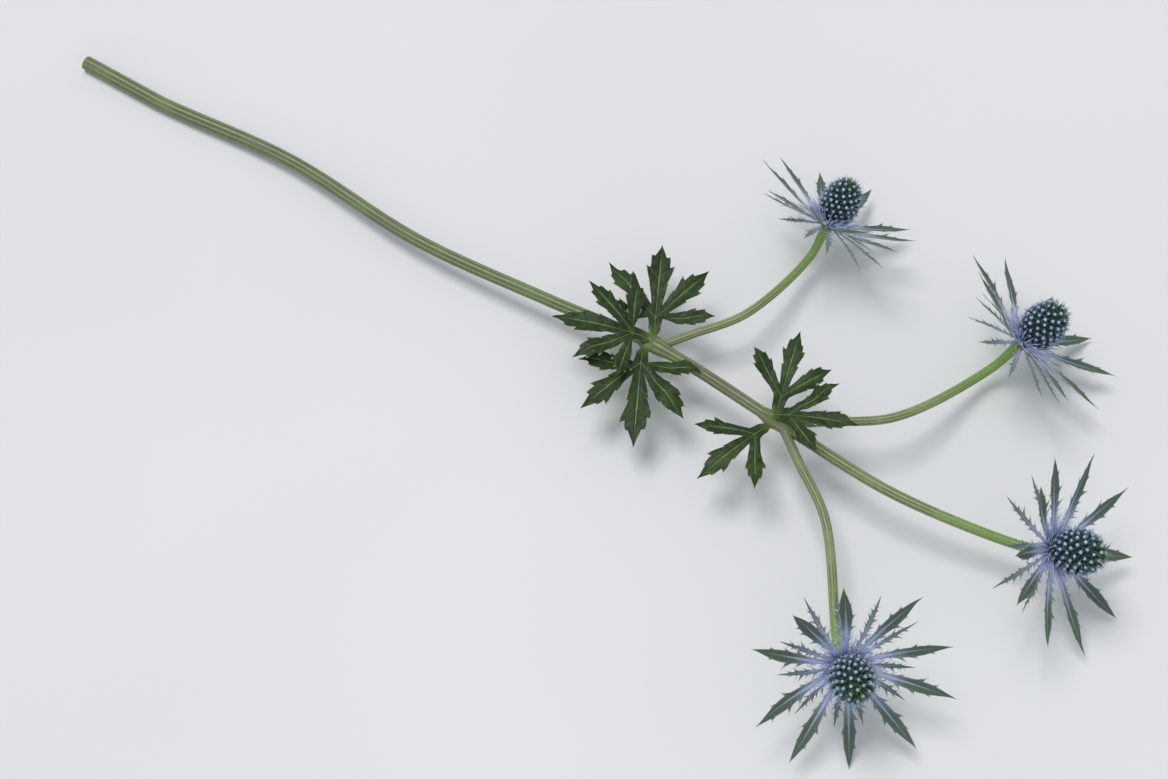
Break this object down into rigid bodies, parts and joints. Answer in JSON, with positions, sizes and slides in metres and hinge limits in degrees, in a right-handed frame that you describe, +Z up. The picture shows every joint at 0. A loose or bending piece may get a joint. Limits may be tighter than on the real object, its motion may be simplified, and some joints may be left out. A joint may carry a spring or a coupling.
{
  "type": "sea holly stem",
  "caption": "Cut sea holly stem lying down: egg-shaped blue flower heads in collars of spiny bracts on a branched green stem with lobed leaves.",
  "frame": {"origin": "middle of the whole stem in plan, on the surface that it lies on", "axes": "+X along the stem from its cut end to its blooms, +Y to the left of the stem, +Z up from the surface that it lies on"},
  "size_m": [0.572, 0.2776, 0.0794],
  "materials": {
    "stem": "satin",
    "leaf": "satin",
    "bracts": "satin",
    "florets": "matte"
  },
  "bodies": {
    "root": {"stem": "stem", "leaf_lower_left": "leaf", "leaf_lower_right": "leaf", "leaf_lower_over": "leaf", "leaf_upper_left": "leaf", "leaf_upper_right": "leaf", "leaf_upper_over": "leaf", "bracts_top": "bracts", "bracts_left": "bracts", "bracts_right": "bracts", "bracts_low": "bracts", "head_top": "florets", "head_left": "florets", "head_right": "florets", "head_low": "florets"}
  },
  "joints": []
}
